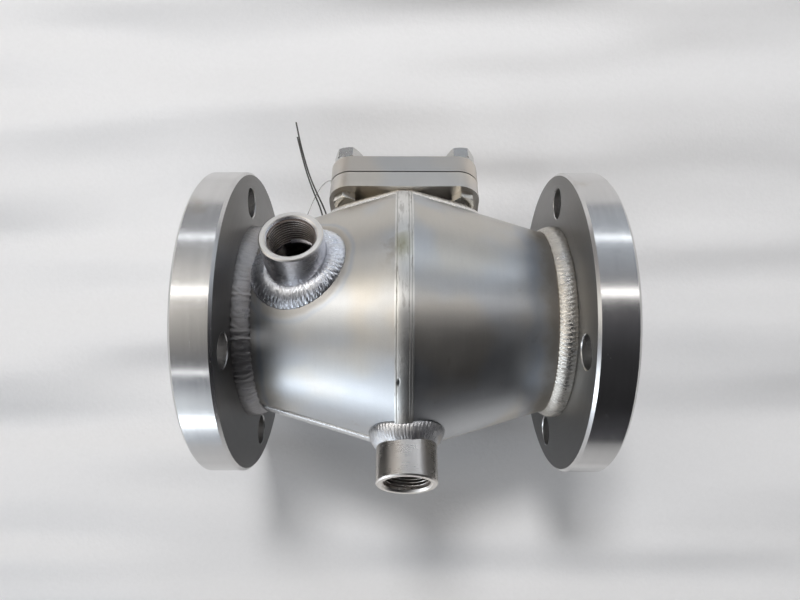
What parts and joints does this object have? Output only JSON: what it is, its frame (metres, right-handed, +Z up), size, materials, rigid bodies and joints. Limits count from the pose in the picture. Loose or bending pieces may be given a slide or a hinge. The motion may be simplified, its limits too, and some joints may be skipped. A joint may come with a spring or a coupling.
{
  "type": "jacketed check valve",
  "caption": "Flanged swing check valve inside a welded double-cone heating jacket, with a bolted square bonnet and two threaded jacket ports.",
  "frame": {"origin": "centre of the inlet flange's raised face", "axes": "+X with the flow, +Z up through the bonnet, -Y towards the heating port"},
  "size_m": [0.2413, 0.1906, 0.2379],
  "materials": {
    "machined_flange": "lathe-turned stainless steel",
    "jacket_sheet": "satin blasted stainless sheet",
    "weld_metal": "rippled weld bead",
    "cast_body": "blasted stainless casting",
    "port_coupling": "turned stainless steel",
    "fastener": "bright stainless steel",
    "trim_steel": "machined stainless steel",
    "gasket": "compressed graphite sheet",
    "wire": "dull annealed wire"
  },
  "bodies": {
    "valve": {"inlet_flange": "machined_flange", "outlet_flange": "machined_flange", "inlet_pipe_weld": "weld_metal", "outlet_pipe_weld": "weld_metal", "valve_body": "cast_body", "jacket_inlet_cone": "jacket_sheet", "jacket_outlet_cone": "jacket_sheet", "jacket_girth_band_front": "jacket_sheet", "jacket_girth_band_rear": "jacket_sheet", "inlet_flange_weld": "weld_metal", "outlet_flange_weld": "weld_metal", "jacket_seam_weld": "weld_metal", "neck_saddle": "jacket_sheet", "neck_saddle_weld": "weld_metal", "heating_port": "port_coupling", "heating_port_weld": "weld_metal", "drain_port": "port_coupling", "drain_port_weld": "weld_metal", "bonnet_gasket": "gasket", "bonnet_cover": "cast_body", "bonnet_bolts": "fastener", "bonnet_washers": "fastener", "bonnet_nuts": "fastener", "hinge_bracket": "trim_steel", "bracket_screws": "fastener", "hinge_pin": "trim_steel", "pin_clips": "fastener", "seat_ring": "trim_steel", "tie_wire": "wire", "loose_strand": "wire"},
    "arm": {"hinge_arm": "trim_steel"},
    "disc": {"disc": "trim_steel", "disc_washer": "fastener", "disc_nut": "fastener", "disc_lock_pin": "fastener"}
  },
  "joints": [
    {"name": "disc_swing", "type": "hinge", "parent": "valve", "child": "arm", "pos_m": [0.09893, 0, 0.03881], "axis": [0, -1, 0], "range_deg": [0, 70]},
    {"name": "disc_spin", "type": "hinge", "parent": "arm", "child": "disc", "pos_m": [0.09765, 0, 0], "axis": [0.9848, 0, 0.1736], "continuous": true}
  ]
}
